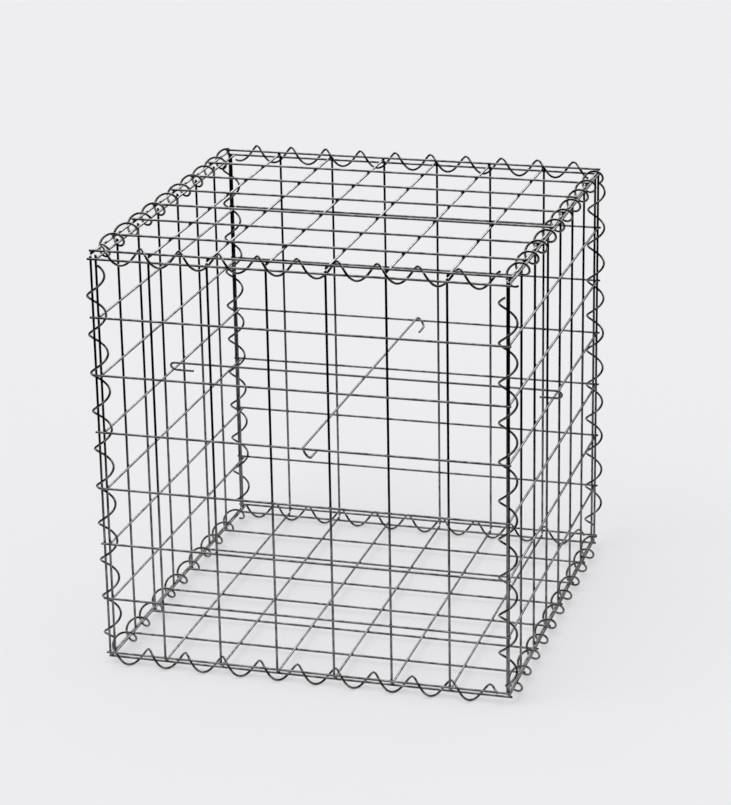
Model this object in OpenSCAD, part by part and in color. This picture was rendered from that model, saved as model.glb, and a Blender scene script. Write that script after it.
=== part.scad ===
// Welded mesh gabion basket: six wire panels laced along the twelve edges of a
// cube with spiral binders, and held square by two hooked ties.
// X runs to the right, Y to the back and Z up. The origin is on the ground,
// under the middle of the basket. All sizes are in millimetres.

/* [Mesh] */
// Distance between the axes of neighbouring panel wires
mesh = 75; // [50:5:120]
// Mesh cells from left to right
wide_count = 7; // [4:1:10]
// Mesh cells from front to back
deep_count = 7; // [4:1:10]
// Mesh cells from the base to the lid
high_count = 7; // [4:1:10]
// Diameter of the panel wires
wire_d = 3; // [2.5:0.1:3.5]
// How far a wire runs past the axis of the last wire that it crosses
wire_over = 3.5; // [2.5:0.1:4]

/* [Lacing] */
// Clear gap between the wire ends of one panel and the wires of the next
seat_gap = 0.5; // [0.3:0.1:0.8]
// How far the left panel is tucked in between the front and back ones
left_tuck = 6; // [4:0.5:7]
// How far the right panel is tucked in between the front and back ones
right_tuck = 1.5; // [1:0.1:2.5]
// Diameter of the wire in the spiral binders
spiral_wire_d = 3; // [2.5:0.1:3.5]
// Clear room between the inside of a spiral and the pair of wires that it laces
spiral_room = 2; // [1.8:0.1:2.3]
// Turns of a spiral along one mesh cell
turns_per_cell = 1.5; // [1.5:1:2.5]
// Distance from each corner of the mesh to the end of a spiral
spiral_end = 12.5; // [12:0.5:20]

/* [Ties] */
// Diameter of the wire in the two ties
tie_d = 3; // [2.5:0.1:3.5]
// Mesh row, counted from the bottom, that the ties hang on
tie_row_count = 4; // [2:1:4]
// Place of the left to right tie, to the back of the middle
tie_lr_y = -4; // [-12:1:12]
// Place of the front to back tie, to the right of the middle
tie_fb_x = 6; // [-12:1:12]
// Distance between the shaft of a tie and the tail of its hook
hook_gap = 16; // [15:0.5:20]
// Length of the tail of a hook
hook_tail = 22; // [15:1:40]
// Turn of the hooks about the shaft of their tie, away from hanging straight down
hook_turn = 35; // [0:5:40]

/* [Hidden] */

$fn = 48;

// Half sizes of the mesh box, to the axes of its edge wires
half_w = wide_count * mesh / 2;
half_d = deep_count * mesh / 2;
height = high_count * mesh;

// A panel has two layers of wire, one on each side of its middle plane
layer = wire_d / 2;

// The front, back, base and lid lie outside the mesh box, so that the wire ends
// of the panels between them stop just short of their inner wires
cover = wire_over + wire_d + seat_gap;
front_y = half_d + cover;
left_x = half_w - left_tuck;
right_x = half_w - right_tuck;

// Mean radius and pitch of a spiral, which passes round the pair of edge wires that
// lie furthest apart, and its six-sided section of equal area
wire_spread = (cover + layer) * sqrt(2) / 2 + wire_d / 2;
spiral_r = wire_spread + spiral_room + spiral_wire_d / 2;
pitch = mesh / turns_per_cell;
spiral_sides = 6;
steps_per_turn = 8;
section_r = spiral_wire_d / 2 * sqrt(2 * PI / (spiral_sides * sin(360 / spiral_sides)));

// The axis of a spiral lies midway between the two edge wires that it laces.
// Each value is the distance of that axis from the corner of the mesh box.
outer_mid = (cover + layer) / 2;
inner_mid = (cover - layer) / 2;
right_mid = (layer - right_tuck) / 2;
right_corner_mid = (-layer - right_tuck) / 2;

// The left panel is tucked in further, and its spirals hang off the middle
left_hang = wire_d / 4;
left_mid = (-layer - left_tuck) / 2 + left_hang;
back_left_mid = (layer - left_tuck) / 2 - left_hang / 3;
front_left_mid = (layer - left_tuck) / 2 - 2.5 * left_hang;

// The turns of the front and back bottom spirals stand on the ground
base_side_z = spiral_r + section_r + outer_mid;
base_z = base_side_z - cover;
top_z = base_side_z + height;
lid_z = top_z + cover;

// Angle of each spiral at the first mesh wire along it, chosen so that no turn
// meets a wire that crosses the edge
top_front_turn = 332;
top_back_turn = 140;
top_left_turn = 287;
top_right_turn = 53;
bottom_front_turn = 62;
bottom_back_turn = 48;
bottom_left_turn = 87;
bottom_right_turn = 308;
corner_front_left_turn = 6;
corner_front_right_turn = 177;
corner_back_left_turn = 158;
corner_back_right_turn = 3;

// The front to back tie lies just over the mesh row, and the other one lies over it
tie_fb_z = base_side_z + tie_row_count * mesh + wire_d / 2 + tie_d / 2 + seat_gap / 2;
tie_lr_z = tie_fb_z + tie_d + seat_gap / 2;
hook_r = hook_gap / 2;

zinc = [0.62, 0.63, 0.64];
zinc_dark = [0.5, 0.51, 0.52];

// Welded panel lying in the XY plane from the origin: the wires along X are on
// the upper side, the wires along Y on the lower side
module mesh_panel(across, along) {
    for (j = [0:along])
        translate([-wire_over, j * mesh, layer])
            rotate([0, 90, 0])
                cylinder(d = wire_d, h = across * mesh + 2 * wire_over);
    for (i = [0:across])
        translate([i * mesh, -wire_over, -layer])
            rotate([-90, 0, 0])
                cylinder(d = wire_d, h = along * mesh + 2 * wire_over);
}

// Spiral binder along Z for a mesh of the given length, wound about the Z axis
module spiral(length, turn) {
    run = length - 2 * spiral_end;
    steps = ceil(run / pitch * steps_per_turn);
    sides = spiral_sides;
    // Rise of the wire over its way round the axis
    lean = atan2(pitch, 2 * PI * spiral_r);
    points = [
        for (i = [0:steps], k = [0:sides - 1])
            let (
                z = spiral_end + run * i / steps,
                a = turn + 360 * z / pitch,
                out = section_r * cos(360 * k / sides),
                up = section_r * sin(360 * k / sides),
                r = spiral_r + out
            )
            [
                r * cos(a) + up * sin(lean) * sin(a),
                r * sin(a) - up * sin(lean) * cos(a),
                z + up * cos(lean)
            ]
    ];
    walls = [
        for (i = [0:steps - 1], k = [0:sides - 1], half = [0, 1])
            let (a = i * sides + k, b = i * sides + (k + 1) % sides)
            half == 0 ? [a, b + sides, a + sides] : [a, b, b + sides]
    ];
    caps = [
        for (k = [1:sides - 2], end = [0, 1])
            let (s = steps * sides)
            end == 0 ? [0, k + 1, k] : [s, s + k, s + k + 1]
    ];
    polyhedron(points = points, faces = concat(walls, caps), convexity = 10);
}

// Spiral along X, Y or Z from the point given; its turn is measured from +Y,
// +Z or +X in that order
module spiral_x(y, z, turn) {
    color(zinc_dark)
        translate([-half_w, y, z])
            rotate([90, 0, 90])
                spiral(2 * half_w, turn);
}

module spiral_y(x, z, turn) {
    color(zinc_dark)
        translate([x, -half_d, z])
            rotate([90, 0, 90])
                rotate([90, 0, 90])
                    spiral(2 * half_d, turn);
}

module spiral_z(x, y, turn) {
    color(zinc_dark)
        translate([x, y, base_side_z])
            spiral(height, turn);
}

// Hooked end of a tie: the shaft ends at the origin, coming along -X, and the
// hook bends down round the wire and back under it
module hook() {
    translate([0, 0, -hook_r])
        rotate([90, 0, 0])
            rotate([0, 0, -90])
                rotate_extrude(angle = 180)
                    translate([hook_r, 0])
                        circle(d = tie_d);
    translate([0, 0, -hook_gap])
        rotate([0, -90, 0])
            cylinder(d = tie_d, h = hook_tail);
}

// Tie along X between two hooks
module tie(from_x, to_x) {
    rotate([hook_turn, 0, 0])
        union() {
            translate([from_x, 0, 0])
                rotate([0, 90, 0])
                    cylinder(d = tie_d, h = to_x - from_x);
            translate([to_x, 0, 0])
                hook();
            translate([from_x, 0, 0])
                mirror([1, 0, 0])
                    hook();
        }
}

module base_panel() {
    color(zinc)
        translate([-half_w, -half_d, base_z])
            mirror([0, 0, 1])
                mesh_panel(wide_count, deep_count);
}

module lid_panel() {
    color(zinc)
        translate([-half_w, -half_d, lid_z])
            mesh_panel(wide_count, deep_count);
}

module front_panel() {
    color(zinc)
        translate([-half_w, -front_y, base_side_z])
            rotate([90, 0, 0])
                mesh_panel(wide_count, high_count);
}

module back_panel() {
    color(zinc)
        translate([-half_w, front_y, base_side_z])
            mirror([0, 1, 0])
                rotate([90, 0, 0])
                    mesh_panel(wide_count, high_count);
}

module left_panel() {
    color(zinc)
        translate([-left_x, -half_d, base_side_z])
            rotate([0, -90, 0])
                mesh_panel(high_count, deep_count);
}

module right_panel() {
    color(zinc)
        translate([right_x, -half_d, base_side_z])
            rotate([90, 0, 90])
                mesh_panel(deep_count, high_count);
}

module spiral_bottom_front() {
    spiral_x(-half_d - outer_mid, base_side_z - outer_mid, bottom_front_turn);
}

module spiral_bottom_back() {
    spiral_x(half_d + outer_mid, base_side_z - outer_mid, bottom_back_turn);
}

module spiral_bottom_left() {
    spiral_y(-half_w - left_mid, base_side_z - inner_mid, bottom_left_turn);
}

module spiral_bottom_right() {
    spiral_y(half_w + right_mid, base_side_z - inner_mid, bottom_right_turn);
}

module spiral_top_front() {
    spiral_x(-half_d - outer_mid, top_z + outer_mid, top_front_turn);
}

module spiral_top_back() {
    spiral_x(half_d + outer_mid, top_z + outer_mid, top_back_turn);
}

module spiral_top_left() {
    spiral_y(-half_w - left_mid, top_z + inner_mid, top_left_turn);
}

module spiral_top_right() {
    spiral_y(half_w + right_mid, top_z + inner_mid, top_right_turn);
}

module spiral_corner_front_left() {
    spiral_z(-half_w - front_left_mid, -half_d - inner_mid, corner_front_left_turn);
}

module spiral_corner_front_right() {
    spiral_z(half_w + right_corner_mid, -half_d - inner_mid, corner_front_right_turn);
}

module spiral_corner_back_left() {
    spiral_z(-half_w - back_left_mid, half_d + inner_mid, corner_back_left_turn);
}

module spiral_corner_back_right() {
    spiral_z(half_w + right_corner_mid, half_d + inner_mid, corner_back_right_turn);
}

module tie_left_right() {
    color(zinc_dark)
        translate([0, tie_lr_y, tie_lr_z])
            tie(layer - left_x, right_x + layer);
}

module tie_front_back() {
    color(zinc_dark)
        translate([tie_fb_x, 0, tie_fb_z])
            rotate([0, 0, 90])
                mirror([0, 1, 0])
                    tie(-front_y - layer, front_y + layer);
}

base_panel();
lid_panel();
front_panel();
back_panel();
left_panel();
right_panel();
spiral_bottom_front();
spiral_bottom_back();
spiral_bottom_left();
spiral_bottom_right();
spiral_top_front();
spiral_top_back();
spiral_top_left();
spiral_top_right();
spiral_corner_front_left();
spiral_corner_front_right();
spiral_corner_back_left();
spiral_corner_back_right();
tie_left_right();
tie_front_back();
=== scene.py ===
# %% [markdown]
# # A welded mesh gabion basket
#
# A gabion is a wire basket that is filled with stones. This one is a cube of
# six welded mesh panels. Twelve spiral binders, wound along the edges, lace the
# panels together, and two hooked ties inside keep the walls from bulging.
#
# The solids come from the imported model. This script dresses them: round wires
# with weld nuggets, smooth spirals, bent ties, and zinc that looks like zinc.

# %% Load the frame
import math

import bpy
from mathutils import Matrix, Vector


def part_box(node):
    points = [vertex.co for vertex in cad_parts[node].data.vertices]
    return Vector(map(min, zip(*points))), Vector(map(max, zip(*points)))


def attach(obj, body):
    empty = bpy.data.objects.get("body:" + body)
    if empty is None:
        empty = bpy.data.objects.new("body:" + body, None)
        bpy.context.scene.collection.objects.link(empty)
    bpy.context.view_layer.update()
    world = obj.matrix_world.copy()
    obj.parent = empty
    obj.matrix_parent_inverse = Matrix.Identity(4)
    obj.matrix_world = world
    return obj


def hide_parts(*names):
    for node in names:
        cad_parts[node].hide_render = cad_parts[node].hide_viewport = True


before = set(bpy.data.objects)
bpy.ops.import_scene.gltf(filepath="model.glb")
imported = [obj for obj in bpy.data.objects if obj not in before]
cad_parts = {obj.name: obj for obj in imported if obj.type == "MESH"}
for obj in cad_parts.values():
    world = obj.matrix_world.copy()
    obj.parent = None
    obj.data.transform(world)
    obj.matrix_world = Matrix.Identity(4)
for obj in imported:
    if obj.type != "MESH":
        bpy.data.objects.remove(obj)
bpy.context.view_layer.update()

print("nodes in the frame:", len(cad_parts))

# %% [markdown]
# ## Sizes
#
# The sizes of the basket are real ones in millimetres. Blender works in metres,
# so each one is multiplied by MM where it is written. The studio round it is
# large, and is given in metres. Where a panel lies, and how far its wires run
# on, is read from the boxes of the solids, so that the two always agree.

# %% Sizes of the basket
MM = 0.001
MESH = 75 * MM
WIRE = 3 * MM
BINDER = 3 * MM
PITCH = 50 * MM
ROOM = 2 * MM
SPIRAL_END = 12.5 * MM
CELLS = 7
EDGE = CELLS * MESH


def low(node):
    return Vector(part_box(node)[0])


def high(node):
    return Vector(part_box(node)[1])


OVER = (high("lid_panel").x - low("lid_panel").x - EDGE) / 2
print("wire ends run past the last crossing by", round(OVER / MM, 2), "mm")

# %% [markdown]
# ## Adding nodes
#
# Materials and Geometry Nodes are both made of nodes. One small function adds a
# node, sets its properties, and fills or links its inputs.


# %% One helper for every node
def add(tree, kind, inputs=None, **settings):
    made = tree.nodes.new(kind)
    for name, value in settings.items():
        setattr(made, name, value)
    for key, value in (inputs or {}).items():
        for one in value if isinstance(value, list) else [value]:
            if isinstance(one, bpy.types.NodeSocket):
                tree.links.new(one, made.inputs[key])
            else:
                made.inputs[key].default_value = one
    return made


def srgb(hex_colour):
    """Turn a colour such as "8C8F92" into the linear values that shaders use."""
    parts = [int(hex_colour[i:i + 2], 16) / 255 for i in (0, 2, 4)]
    linear = [p / 12.92 if p <= 0.04045 else ((p + 0.055) / 1.055) ** 2.4 for p in parts]
    return (*linear, 1.0)


# %% [markdown]
# ## Zinc
#
# The wires are drawn steel, dipped in zinc. New zinc is bright, and it dulls
# to a soft grey within weeks. Under a lens its surface is a patchwork of pale
# and darker grains with fine pits from the dip. It could be one flat grey, but
# then a wire looks like plastic string. So one noise changes the colour and the
# roughness together, and a finer one is a bump. The patches of real zinc are a
# few millimetres long. They are drawn about 10 mm long here, so that they show
# from where the basket is seen. A metal keeps the default IOR.


# %% Zinc-coated wire
def zinc(name, light, dark, rough, patch, pits):
    """Zinc between two tones, with patches and pits of these sizes in millimetres."""
    material = bpy.data.materials.new(name)
    material.use_nodes = True
    tree = material.node_tree
    shader = tree.nodes["Principled BSDF"]
    place = add(tree, "ShaderNodeTexCoord").outputs["Object"]
    patches = add(tree, "ShaderNodeTexNoise",
                  {"Vector": place, "Scale": 1 / (patch * MM), "Detail": 3.0, "Roughness": 0.6})
    spread = add(tree, "ShaderNodeMapRange",
                 {"Value": patches.outputs["Fac"], "From Min": 0.35, "From Max": 0.65})
    colour = add(tree, "ShaderNodeMix",
                 {"Factor": spread.outputs["Result"], "A": srgb(dark), "B": srgb(light)},
                 data_type="RGBA")
    tree.links.new(colour.outputs["Result"], shader.inputs["Base Color"])
    gloss = add(tree, "ShaderNodeMapRange",
                {"Value": patches.outputs["Fac"], "From Min": 0.3, "From Max": 0.7,
                 "To Min": rough - 0.04, "To Max": rough + 0.06})
    tree.links.new(gloss.outputs["Result"], shader.inputs["Roughness"])
    grain = add(tree, "ShaderNodeTexNoise",
                {"Vector": place, "Scale": 1 / (pits * MM), "Detail": 2.0})
    bump = add(tree, "ShaderNodeBump",
               {"Height": grain.outputs["Fac"], "Strength": 0.12, "Distance": 0.05 * MM})
    tree.links.new(bump.outputs["Normal"], shader.inputs["Normal"])
    shader.inputs["Metallic"].default_value = 1.0
    return material


# Drawn wire of the mesh: neutral and smooth, with a clear bright line along it.
panel_zinc = zinc("galvanised_drawn_wire", "858687", "4A4B4C", 0.12, patch=10, pits=0.8)
# Spring wire: a little warmer and glossier, so that each turn flashes once.
binder_zinc = zinc("galvanised_spring_wire", "8A8781", "3C3A38", 0.09, patch=9, pits=0.7)
# Wire of the ties: duller, an even grey with no bright line.
tie_zinc = zinc("dull_galvanised_wire", "868788", "666768", 0.42, patch=10, pits=0.8)
# Zinc burnt at a weld: a dark matt spot.
weld_zinc = zinc("burnt_zinc_at_weld", "303030", "181818", 0.45, patch=2, pits=0.5)
print("finishes:", panel_zinc.name, binder_zinc.name, tie_zinc.name, weld_zinc.name)

# %% [markdown]
# ## Building with Geometry Nodes
#
# A panel repeats one straight wire, so a node tree is the natural way to make
# it. The tree gets named inputs for its sizes, and ends by making the copies
# real and giving them their material. The result is then frozen into a plain
# mesh, because the export keeps no live modifier and no instances. An input of
# a modifier is set by the identifier of its socket, before the object is first
# evaluated.


# %% A tree with named inputs, and the mesh that it makes
CREASE = math.radians(50)


def new_tree(name, inputs):
    """Start a tree and give back its inputs, in the order of their labels."""
    tree = bpy.data.node_groups.new(name, "GeometryNodeTree")
    kinds = {"length": "NodeSocketFloat", "count": "NodeSocketInt", "angle": "NodeSocketFloat",
             "material": "NodeSocketMaterial"}
    for label, kind in inputs.items():
        tree.interface.new_socket(label, in_out="INPUT", socket_type=kinds[kind])
    tree.interface.new_socket("Geometry", in_out="OUTPUT", socket_type="NodeSocketGeometry")
    return tree, add(tree, "NodeGroupInput").outputs


def end_tree(tree, geometry, material):
    """Make the copies real and give them their material."""
    real = add(tree, "GeometryNodeRealizeInstances", {"Geometry": geometry})
    dressed = add(tree, "GeometryNodeSetMaterial",
                  {"Geometry": real.outputs["Geometry"], "Material": material})
    add(tree, "NodeGroupOutput", {"Geometry": dressed.outputs["Geometry"]})


def frozen(name, tree, values, placing):
    """Run a tree on an empty object and keep its result as a plain mesh."""
    holder = bpy.data.objects.new(name, bpy.data.meshes.new(name))
    bpy.context.scene.collection.objects.link(holder)
    modifier = holder.modifiers.new("build", "NODES")
    modifier.node_group = tree
    for item in tree.interface.items_tree:
        if item.in_out == "INPUT":
            modifier[item.identifier] = values[item.name]
    bpy.context.view_layer.update()
    seen = holder.evaluated_get(bpy.context.evaluated_depsgraph_get())
    mesh = bpy.data.meshes.new_from_object(seen)
    holder.modifiers.remove(modifier)
    mesh.name = name
    mesh.transform(placing)
    mesh.shade_smooth()
    mesh.set_sharp_from_angle(angle=CREASE)
    holder.data = mesh
    return holder


# %% [markdown]
# ## Panel wires
#
# A panel is two rows of straight wires, laid across each other and welded. It
# could be made from an array modifier on a cylinder, once for each row. A tree
# does both in one: a line with a round profile is copied to a row of points, one
# mesh size apart. The second row, turned by a quarter, lies under the first, so
# that each wire touches all those that cross it.


# %% The tree of a mesh panel
WIRE_SIDES = 20


def panel_tree():
    tree, given = new_tree("welded_mesh_panel", {
        "Mesh size": "length", "Wire count": "count", "Wire length": "length",
        "Overhang": "length", "Wire radius": "length", "Wire material": "material"})
    profile = add(tree, "GeometryNodeCurvePrimitiveCircle",
                  {"Resolution": WIRE_SIDES, "Radius": given["Wire radius"]})
    before = add(tree, "ShaderNodeMath", {0: given["Overhang"], 1: -1.0}, operation="MULTIPLY")
    after = add(tree, "ShaderNodeMath",
                {0: given["Wire length"], 1: before.outputs[0]}, operation="ADD")
    under = add(tree, "ShaderNodeMath", {0: given["Wire radius"], 1: -1.0}, operation="MULTIPLY")
    rows = []
    for along, across, lift in (("X", "Y", given["Wire radius"]), ("Y", "X", under.outputs[0])):
        start = add(tree, "ShaderNodeCombineXYZ", {along: before.outputs[0]})
        end = add(tree, "ShaderNodeCombineXYZ", {along: after.outputs[0]})
        line = add(tree, "GeometryNodeCurvePrimitiveLine",
                   {"Start": start.outputs[0], "End": end.outputs[0]})
        wire = add(tree, "GeometryNodeCurveToMesh", {
            "Curve": line.outputs[0], "Profile Curve": profile.outputs[0], "Fill Caps": True})
        first = add(tree, "ShaderNodeCombineXYZ", {"Z": lift})
        step = add(tree, "ShaderNodeCombineXYZ", {across: given["Mesh size"]})
        row = add(tree, "GeometryNodeMeshLine", {
            "Count": given["Wire count"], "Start Location": first.outputs[0],
            "Offset": step.outputs[0]})
        rows.append(add(tree, "GeometryNodeInstanceOnPoints", {
            "Points": row.outputs[0], "Instance": wire.outputs[0]}).outputs[0])
    both = add(tree, "GeometryNodeJoinGeometry", {"Geometry": rows})
    end_tree(tree, both.outputs[0], given["Wire material"])
    return tree


wires = panel_tree()
print("panel tree has", len(wires.nodes), "nodes")

# %% [markdown]
# ## Weld nuggets
#
# Each crossing is pressed hot until the two wires melt together. That squeezes
# out a small flat collar of metal and burns the zinc off it, which leaves a
# dull dark spot. A dark patch in the wire's own material would have no collar.
# So one rounded bead, flattened and turned by a seeded random angle, is placed
# on every crossing of the grid.


# %% The tree of the welds
def weld_tree():
    tree, given = new_tree("mesh_welds", {
        "Sheet size": "length", "Wire count": "count", "Weld radius": "length",
        "Weld material": "material"})
    grid = add(tree, "GeometryNodeMeshGrid", {
        "Size X": given["Sheet size"], "Size Y": given["Sheet size"],
        "Vertices X": given["Wire count"], "Vertices Y": given["Wire count"]})
    half = add(tree, "ShaderNodeMath", {0: given["Sheet size"], 1: 0.5}, operation="MULTIPLY")
    middle = add(tree, "ShaderNodeCombineXYZ", {"X": half.outputs[0], "Y": half.outputs[0]})
    spots = add(tree, "GeometryNodeTransform",
                {"Geometry": grid.outputs[0], "Translation": middle.outputs[0]})
    bead = add(tree, "GeometryNodeMeshUVSphere",
               {"Segments": 14, "Rings": 8, "Radius": given["Weld radius"]})
    flat = add(tree, "GeometryNodeTransform",
               {"Geometry": bead.outputs[0], "Scale": (1.15, 0.9, 0.52)})
    turn = add(tree, "FunctionNodeRandomValue",
               {"Min": (0.0, 0.0, 0.0), "Max": (0.0, 0.0, 3.1), "Seed": 4},
               data_type="FLOAT_VECTOR")
    # The node has a Min and a Max for each kind of value. These are the float ones.
    least, most = 2, 3
    grow = add(tree, "FunctionNodeRandomValue",
               {least: 0.85, most: 1.08, "Seed": 9}, data_type="FLOAT")
    beads = add(tree, "GeometryNodeInstanceOnPoints", {
        "Points": spots.outputs[0], "Instance": flat.outputs[0],
        "Rotation": turn.outputs[0], "Scale": grow.outputs[1]})
    end_tree(tree, beads.outputs[0], given["Weld material"])
    return tree


welds = weld_tree()
print("weld tree has", len(welds.nodes), "nodes")

# %% [markdown]
# ## Placing the six panels
#
# The six panels of the real basket are alike, so every panel is the same sheet,
# turned into its place. The sheet lies in the XY plane from a corner, with its
# X wires on top. The place of that corner comes from the box of the panel's
# node, and it goes into the mesh, so the object itself stays at the origin.


# %% Turns and corners
def turned(x, y, z, corner):
    """First turn about X, then Y, then Z, in degrees, and move to the corner."""
    turn = Matrix.Identity(4)
    for angle, axis in ((x, "X"), (y, "Y"), (z, "Z")):
        turn = Matrix.Rotation(math.radians(angle), 4, axis) @ turn
    return Matrix.Translation(corner) @ turn


def panel_placing(node):
    """Where the corner of the sheet goes, and how the sheet is turned there."""
    lo, hi = low(node), high(node)
    mid = (lo + hi) / 2
    if node == "lid_panel":
        return turned(0, 0, 0, (lo.x + OVER, lo.y + OVER, mid.z))
    if node == "base_panel":
        return turned(180, 0, 0, (lo.x + OVER, hi.y - OVER, mid.z))
    if node == "front_panel":
        return turned(90, 0, 0, (lo.x + OVER, mid.y, lo.z + OVER))
    if node == "back_panel":
        return turned(-90, 0, 0, (lo.x + OVER, mid.y, hi.z - OVER))
    if node == "left_panel":
        return turned(0, -90, 0, (mid.x, lo.y + OVER, lo.z + OVER))
    return turned(90, 0, 90, (mid.x, lo.y + OVER, lo.z + OVER))


# %% Make the panels
WELD_R = 2.1 * MM
PANELS = ["base_panel", "lid_panel", "front_panel", "back_panel", "left_panel", "right_panel"]
for node in PANELS:
    placing = panel_placing(node)
    sheet = frozen(node + "_wires", wires, {
        "Mesh size": MESH, "Wire count": CELLS + 1, "Wire length": EDGE + 2 * OVER,
        "Overhang": OVER, "Wire radius": WIRE / 2, "Wire material": panel_zinc}, placing)
    beads = frozen(node + "_welds", welds, {
        "Sheet size": EDGE, "Wire count": CELLS + 1, "Weld radius": WELD_R,
        "Weld material": weld_zinc}, placing)
    for piece in (sheet, beads):
        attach(piece, "root")
    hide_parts(node)
    print(node, "has", len(sheet.data.polygons), "and", len(beads.data.polygons), "faces")

# %% [markdown]
# ## Spiral binders
#
# A binder is spring wire, coiled with a long pitch, and it is screwed along an
# edge so that it passes round the last wire of both panels. The screw modifier
# could make it, but a tree says the rule in its own words: a spiral curve of so
# many turns, with a round profile.


# %% The tree of a spiral
BINDER_SIDES = 14
STEPS_OF_A_TURN = 28


def spiral_tree():
    tree, given = new_tree("spiral_binder", {
        "Run": "length", "Pitch": "length", "Spiral radius": "length",
        "Wire radius": "length", "First angle": "angle", "Binder material": "material"})
    turns = add(tree, "ShaderNodeMath", {0: given["Run"], 1: given["Pitch"]}, operation="DIVIDE")
    helix = add(tree, "GeometryNodeCurveSpiral", {
        "Resolution": STEPS_OF_A_TURN, "Rotations": turns.outputs[0],
        "Start Radius": given["Spiral radius"], "End Radius": given["Spiral radius"],
        "Height": given["Run"], "Reverse": True})
    aim = add(tree, "ShaderNodeCombineXYZ", {"Z": given["First angle"]})
    aimed = add(tree, "GeometryNodeTransform",
                {"Geometry": helix.outputs[0], "Rotation": aim.outputs[0]})
    profile = add(tree, "GeometryNodeCurvePrimitiveCircle",
                  {"Resolution": BINDER_SIDES, "Radius": given["Wire radius"]})
    wire = add(tree, "GeometryNodeCurveToMesh", {
        "Curve": aimed.outputs[0], "Profile Curve": profile.outputs[0], "Fill Caps": True})
    end_tree(tree, wire.outputs[0], given["Binder material"])
    return tree


spiral = spiral_tree()
print("spiral tree has", len(spiral.nodes), "nodes")

# %% [markdown]
# ## Placing the spirals
#
# Each spiral has its own starting angle, chosen in the solids so that no turn
# runs into a wire that crosses the edge. The angle is measured from +Y, +Z or
# +X for a spiral along X, Y or Z. Its axis runs midway between the two edge
# wires that it laces. On the left, where the panel is tucked in, the spirals
# hang a little off that line.

# %% Starting angles, in degrees
FIRST_ANGLE = {
    "spiral_bottom_front": 62, "spiral_bottom_back": 48,
    "spiral_bottom_left": 87, "spiral_bottom_right": 308,
    "spiral_top_front": 332, "spiral_top_back": 140,
    "spiral_top_left": 287, "spiral_top_right": 53,
    "spiral_corner_front_left": 6, "spiral_corner_front_right": 177,
    "spiral_corner_back_left": 158, "spiral_corner_back_right": 3,
}
AXIS_OF = {"top_front": 0, "top_back": 0, "bottom_front": 0, "bottom_back": 0,
           "top_left": 1, "top_right": 1, "bottom_left": 1, "bottom_right": 1,
           "corner_front_left": 2, "corner_front_right": 2,
           "corner_back_left": 2, "corner_back_right": 2}


# %% Where the axis of a spiral runs
HALF = EDGE / 2
LAYER = WIRE / 2
SIDE_Z = low("front_panel").z + OVER
TOP_Z = SIDE_Z + EDGE
COVER = (low("lid_panel").z + high("lid_panel").z) / 2 - TOP_Z
RIGHT_TUCK = HALF - (low("right_panel").x + high("right_panel").x) / 2
LEFT_TUCK = HALF + (low("left_panel").x + high("left_panel").x) / 2
HANG = WIRE / 4
OUTER = HALF + (COVER + LAYER) / 2
INNER = HALF + (COVER - LAYER) / 2
ABOVE = TOP_Z - HALF
BELOW = SIDE_Z + HALF
RIGHT_EDGE = HALF + (LAYER - RIGHT_TUCK) / 2
RIGHT_CORNER = HALF - (LAYER + RIGHT_TUCK) / 2
LEFT_EDGE = -HALF + (LAYER + LEFT_TUCK) / 2 - HANG
BACK_LEFT = -HALF - (LAYER - LEFT_TUCK) / 2 + HANG / 3
FRONT_LEFT = -HALF - (LAYER - LEFT_TUCK) / 2 + 2.5 * HANG

AXIS_AT = {
    "top_front": (-HALF, -OUTER, ABOVE + OUTER), "top_back": (-HALF, OUTER, ABOVE + OUTER),
    "bottom_front": (-HALF, -OUTER, BELOW - OUTER), "bottom_back": (-HALF, OUTER, BELOW - OUTER),
    "top_left": (LEFT_EDGE, -HALF, ABOVE + INNER), "top_right": (RIGHT_EDGE, -HALF, ABOVE + INNER),
    "bottom_left": (LEFT_EDGE, -HALF, BELOW - INNER),
    "bottom_right": (RIGHT_EDGE, -HALF, BELOW - INNER),
    "corner_front_left": (FRONT_LEFT, -INNER, SIDE_Z),
    "corner_front_right": (RIGHT_CORNER, -INNER, SIDE_Z),
    "corner_back_left": (BACK_LEFT, INNER, SIDE_Z),
    "corner_back_right": (RIGHT_CORNER, INNER, SIDE_Z),
}
SPIRAL_R = (COVER + LAYER) * math.sqrt(2) / 2 + WIRE / 2 + ROOM + BINDER / 2
print("mean radius of a spiral:", round(SPIRAL_R / MM, 2), "mm")
ALONG = {0: (90, 0, 90), 1: (-90, -90, 0), 2: (0, 0, 0)}

# %% Make the spirals
for name, corner in AXIS_AT.items():
    node = "spiral_" + name
    angle = math.radians(FIRST_ANGLE[node]) + 2 * math.pi * SPIRAL_END / PITCH
    start = Matrix.Translation((0, 0, SPIRAL_END))
    coil = frozen(node + "_wire", spiral, {
        "Run": EDGE - 2 * SPIRAL_END, "Pitch": PITCH, "Spiral radius": SPIRAL_R,
        "Wire radius": BINDER / 2, "First angle": angle, "Binder material": binder_zinc},
        turned(*ALONG[AXIS_OF[name]], corner) @ start)
    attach(coil, "root")
    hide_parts(node)
    made = [Vector([f(v.co[i] for v in coil.data.vertices) for i in range(3)]) for f in (min, max)]
    off = max((made[0] - low(node)).length, (made[1] - high(node)).length)
    print(node, "differs from its solid's box by", round(off / MM, 2), "mm")

# %% [markdown]
# ## Ties
#
# A tie is a straight length of wire with a hook bent at each end. The hook goes
# out through the mesh, round a wire and back in. A bevelled curve could make it,
# but there are only two, and each has one path. So a few lines of mesh code sweep
# a round section along the points of that path.


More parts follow.
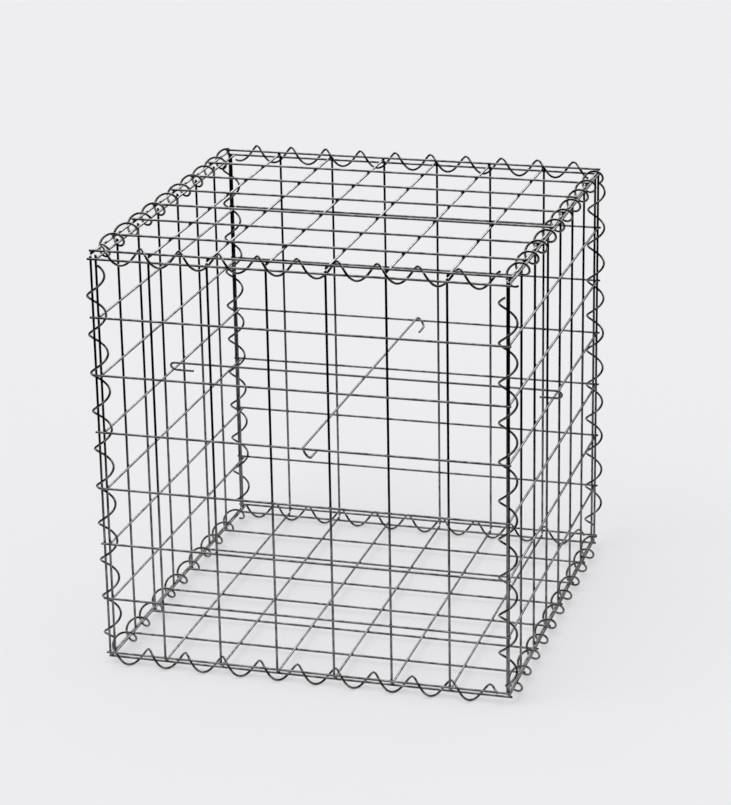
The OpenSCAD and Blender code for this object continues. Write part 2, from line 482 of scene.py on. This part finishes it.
# %% Sweep a round wire along points
def swept(name, points, radius, material, sides=16):
    """A closed round wire along the points."""
    count = len(points)
    verts, faces = [], []
    side = Vector((0, 0, 1))
    for i, here in enumerate(points):
        ahead = (points[min(i + 1, count - 1)] - points[max(i - 1, 0)]).normalized()
        side = (side - side.dot(ahead) * ahead).normalized()
        other = ahead.cross(side)
        for k in range(sides):
            a = 2 * math.pi * k / sides
            verts.append(here + radius * (math.cos(a) * side + math.sin(a) * other))
    for i in range(count - 1):
        for k in range(sides):
            a, b = i * sides + k, i * sides + (k + 1) % sides
            faces.append((a, b, b + sides, a + sides))
    faces.append(tuple(reversed(range(sides))))
    faces.append(tuple(range((count - 1) * sides, count * sides)))
    mesh = bpy.data.meshes.new(name)
    mesh.from_pydata(verts, [], faces)
    mesh.shade_smooth()
    mesh.set_sharp_from_angle(angle=CREASE)
    mesh.materials.append(material)
    piece = bpy.data.objects.new(name, mesh)
    bpy.context.scene.collection.objects.link(piece)
    return piece


# %% The path of a tie
HOOK_GAP = 16 * MM
HOOK_TAIL = 22 * MM
HOOK_TURN = math.radians(35)
BEND_STEPS = 16
SHAFT_STEPS = 12


def tie_path(start, end, sideways):
    """From the tip of one hook's tail to the tip of the other's."""
    along = (end - start).normalized()
    hang = Vector((0, 0, -math.cos(HOOK_TURN))) + sideways * math.sin(HOOK_TURN)
    radius = HOOK_GAP / 2
    bends = []
    for at, out in ((start, -along), (end, along)):
        centre = at + hang * radius
        arc = [centre - hang * radius * math.cos(t) + out * radius * math.sin(t)
               for t in (math.pi * k / BEND_STEPS for k in range(BEND_STEPS + 1))]
        bends.append(arc + [arc[-1] - out * HOOK_TAIL * f for f in (0.5, 1.0)])
    shaft = [start.lerp(end, f / SHAFT_STEPS) for f in range(1, SHAFT_STEPS)]
    return list(reversed(bends[0])) + shaft + bends[1]


# %% Make the ties
lr_lo, lr_hi = low("tie_left_right"), high("tie_left_right")
fb_lo, fb_hi = low("tie_front_back"), high("tie_front_back")
half_tie = BINDER / 2
reach = HOOK_GAP / 2 + half_tie
lr = [Vector((x, lr_lo.y + half_tie, lr_hi.z - half_tie))
      for x in (lr_lo.x + reach, lr_hi.x - reach)]
fb = [Vector((fb_lo.x + half_tie, y, fb_hi.z - half_tie))
      for y in (fb_lo.y + reach, fb_hi.y - reach)]
for node, ends, sideways in (("tie_left_right", lr, Vector((0, 1, 0))),
                             ("tie_front_back", fb, Vector((1, 0, 0)))):
    tie = swept(node + "_wire", tie_path(*ends, sideways), half_tie, tie_zinc)
    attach(tie, "root")
    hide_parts(node)
    first, last = ([round(v / MM, 1) for v in end] for end in ends)
    print(node, "runs from", first, "to", last)

# %% [markdown]
# ## The floor
#
# The basket stands on a pale sweep of paper, which fills the whole picture. A
# lit floor alone would darken towards the back. So eyes and mirrors see half of
# it in its own tone and half as it is lit, and the wires still leave a soft
# shadow on it.


# %% Flat pieces of the studio
def studio_sheet(name, corners, faces, material):
    mesh = bpy.data.meshes.new(name)
    mesh.from_pydata(corners, [], faces)
    mesh.materials.append(material)
    sheet = bpy.data.objects.new(name, mesh)
    bpy.context.scene.collection.objects.link(sheet)
    return sheet


# %% Pale paper
def paper(name, colour, own_share=0.5):
    """Matt paper, of which eyes and mirrors see this share in its own plain tone."""
    material = bpy.data.materials.new(name)
    material.use_nodes = True
    tree = material.node_tree
    tree.nodes.clear()
    ray = add(tree, "ShaderNodeLightPath")
    looked_at = add(tree, "ShaderNodeMath", {
        0: ray.outputs["Is Camera Ray"], 1: ray.outputs["Is Glossy Ray"]}, operation="MAXIMUM")
    seen = add(tree, "ShaderNodeMath", {
        0: looked_at.outputs[0], 1: ray.outputs["Is Transmission Ray"]}, operation="MAXIMUM")
    share = add(tree, "ShaderNodeMath", {0: seen.outputs[0], 1: own_share}, operation="MULTIPLY")
    lit = add(tree, "ShaderNodeBsdfDiffuse", {"Color": srgb(colour)})
    plain = add(tree, "ShaderNodeEmission", {"Color": srgb(colour), "Strength": 1.0})
    both = add(tree, "ShaderNodeMixShader",
               {0: share.outputs[0], 1: lit.outputs[0], 2: plain.outputs[0]})
    add(tree, "ShaderNodeOutputMaterial", {"Surface": both.outputs[0]})
    return material


# %% Pale floor
FLOOR = 14.0
PALE = "ECECEE"
floor_corners = [(-FLOOR, -FLOOR, 0), (FLOOR, -FLOOR, 0), (FLOOR, FLOOR, 0), (-FLOOR, FLOOR, 0)]
studio_sheet("floor", floor_corners, [(0, 1, 2, 3)], paper("matt_paper_sweep", PALE))
print("the floor reaches", FLOOR, "m each way, in the tone", PALE)

# %% [markdown]
# ## What the metal mirrors
#
# Bare metal has hardly any colour of its own: it shows the room. So the studio
# for metal has two painted reflections: sheets that stand out of the picture and
# are there only to be mirrored. A black sheet lies on the paper all round the
# basket, a painted dark reflection that makes the upper part of an upright wire
# read dark, while its foot still mirrors the paper. A tall glowing sheet stands
# behind the basket, dim at its foot and bright above, and paints a bright line, a
# painted highlight, along the upper wires; it glows like a soft box but is no
# lamp. Both are seen by reflections only, and neither lights or shades the floor.


# %% Seen by reflections only
def only_mirrored(sheet):
    sheet.visible_camera = False
    sheet.visible_diffuse = False
    sheet.visible_shadow = False
    sheet.visible_transmission = False


# %% Painted dark reflection round the basket
# Painted dark reflection: a black sheet that only reflections see; it neither lights nor shades
# anything.
painted_dark_paint = bpy.data.materials.new("painted_dark_reflection")
painted_dark_paint.use_nodes = True
painted_dark_shader = painted_dark_paint.node_tree.nodes["Principled BSDF"]
painted_dark_shader.inputs["Base Color"].default_value = srgb("0A0A0A")
painted_dark_shader.inputs["Specular IOR Level"].default_value = 0.0
FAR, SIDE, FRONT, BACK = 9.0, 0.45, 0.78, 0.6
ABOVE_PAPER = 0.002
outline = [(-FAR, -FAR), (FAR, -FAR), (FAR, FAR), (-FAR, FAR),
           (-SIDE, -FRONT), (SIDE, -FRONT), (SIDE, BACK), (-SIDE, BACK)]
frame_faces = [(0, 1, 5, 4), (1, 2, 6, 5), (2, 3, 7, 6), (3, 0, 4, 7)]
only_mirrored(studio_sheet("painted_dark_reflection_sheet", [(x, y, ABOVE_PAPER) for x, y in outline],
                           frame_faces, painted_dark_paint))
print("the flag starts", FRONT, "m in front of the middle of the basket")

# %% Painted highlight behind the basket, brighter towards its top
# Painted highlight: this sheet glows but is no lamp; only reflections see it, brighter towards its
# top.
painted_highlight_paint = bpy.data.materials.new("painted_highlight_glow")
painted_highlight_paint.use_nodes = True
painted_highlight_nodes = painted_highlight_paint.node_tree
painted_highlight_nodes.nodes.clear()
point = add(painted_highlight_nodes, "ShaderNodeSeparateXYZ",
            {0: add(painted_highlight_nodes, "ShaderNodeTexCoord").outputs["Object"]})
fade = add(painted_highlight_nodes, "ShaderNodeMapRange", {
    "Value": point.outputs["Z"], "From Min": 0.8, "From Max": 1.3, "To Min": 0.4, "To Max": 3.4},
    interpolation_type="SMOOTHSTEP")
painted_highlight_emission = add(painted_highlight_nodes, "ShaderNodeEmission",
            {"Color": srgb("FAFAFC"), "Strength": fade.outputs["Result"]})
add(painted_highlight_nodes, "ShaderNodeOutputMaterial", {"Surface": painted_highlight_emission.outputs[0]})
BEHIND, WIDE, FOOT, TOP = 2.2, 2.2, 0.4, 4.5
box_corners = [(-WIDE, BEHIND, FOOT), (WIDE, BEHIND, FOOT),
               (WIDE, BEHIND, TOP), (-WIDE, BEHIND, TOP)]
only_mirrored(studio_sheet("painted_highlight_sheet", box_corners, [(0, 1, 2, 3)], painted_highlight_paint))
print("the soft box stands", BEHIND, "m behind the middle and is", TOP, "m high")

# %% [markdown]
# ## The room
#
# Reflections meet a painted room: dark on the side of the camera, as a real
# studio is, and turning grey behind the basket, so that the wires read dark. It
# is a painted reflection and lights nothing. All other rays meet an even pale
# sky, which lights the floor alike everywhere, and a wide soft sun gives the
# shadows their direction.

# %% World
world = bpy.data.worlds.new("studio")
bpy.context.scene.world = world
world.use_nodes = True
sky = world.node_tree
sky.nodes.clear()
towards = add(sky, "ShaderNodeTexCoord").outputs["Generated"]
bright_side = Vector((0.0, 0.75, 0.66)).normalized()
facing = add(sky, "ShaderNodeVectorMath", {0: towards, 1: bright_side}, operation="DOT_PRODUCT")
ramp = add(sky, "ShaderNodeMapRange", {
    "Value": facing.outputs["Value"], "From Min": 0.35, "From Max": 0.9,
    "To Min": 0.005, "To Max": 0.4}, interpolation_type="SMOOTHSTEP")
# Painted reflection: only reflections see this room, dark towards the camera and grey behind; it
# lights nothing.
painted_reflection_room = add(sky, "ShaderNodeBackground",
           {"Color": srgb("FAFAFC"), "Strength": ramp.outputs["Result"]})
ray = add(sky, "ShaderNodeLightPath")
looked_at = add(sky, "ShaderNodeMath", {
    0: ray.outputs["Is Camera Ray"], 1: ray.outputs["Is Transmission Ray"]}, operation="MAXIMUM")
AS_LIGHT, AS_BACKGROUND = 0.9, 1.0
level = add(sky, "ShaderNodeMapRange",
            {"Value": looked_at.outputs[0], "To Min": AS_LIGHT, "To Max": AS_BACKGROUND})
even = add(sky, "ShaderNodeBackground",
           {"Color": srgb(PALE), "Strength": level.outputs["Result"]})
both = add(sky, "ShaderNodeMixShader", {
    0: ray.outputs["Is Glossy Ray"], 1: even.outputs[0], 2: painted_reflection_room.outputs[0]})
add(sky, "ShaderNodeOutputWorld", {"Surface": both.outputs[0]})
print("the sky lights the basket at", AS_LIGHT)

# %% Soft sun
sun = bpy.data.lights.new("soft_sun", "SUN")
sun.energy = 1.0
sun.angle = math.radians(40)
lamp = bpy.data.objects.new("soft_sun", sun)
bpy.context.scene.collection.objects.link(lamp)
shines_towards = Vector((0.35, 0.45, -1.0))
lamp.rotation_euler = shines_towards.to_track_quat("-Z", "Y").to_euler()
print("the sun has an energy of", sun.energy, "and stands high, to the left of the camera")

# %% [markdown]
# ## Camera
#
# The basket was photographed from the front, a little to its right and from
# above, with a long lens. A camera could be aimed by eye, but a mesh of straight
# wires shows the smallest fault. So the values were found by fitting the lines
# of the mesh: the focal length in pixels of a picture of this width, three
# angles and a place.

# %% Camera
FOCAL = 2759.14
WIDTH = 731
SENSOR = 36
STANDS_AT = Vector((961.64, -3299.55, 1470.09)) * MM
yaw, pitch, roll = (math.radians(v) for v in (-16.1333, -19.0171, -0.9985))
ahead = Vector((math.sin(yaw) * math.cos(pitch), math.cos(yaw) * math.cos(pitch),
                math.sin(pitch)))
level = Vector((math.cos(yaw), -math.sin(yaw), 0))
upward = level.cross(ahead)
right = level * math.cos(roll) + upward * math.sin(roll)
up = -level * math.sin(roll) + upward * math.cos(roll)
lens = bpy.data.cameras.new("camera")
lens.sensor_fit = "HORIZONTAL"
lens.sensor_width = SENSOR
lens.lens = FOCAL * SENSOR / WIDTH
lens.clip_end = 100
camera = bpy.data.objects.new("camera", lens)
bpy.context.scene.collection.objects.link(camera)
axes = Matrix([right, up, -ahead]).transposed().to_4x4()
camera.matrix_world = Matrix.Translation(STANDS_AT) @ axes
bpy.context.scene.camera = camera
bpy.context.scene.view_settings.view_transform = "Standard"
print("lens", round(lens.lens, 2), "mm")
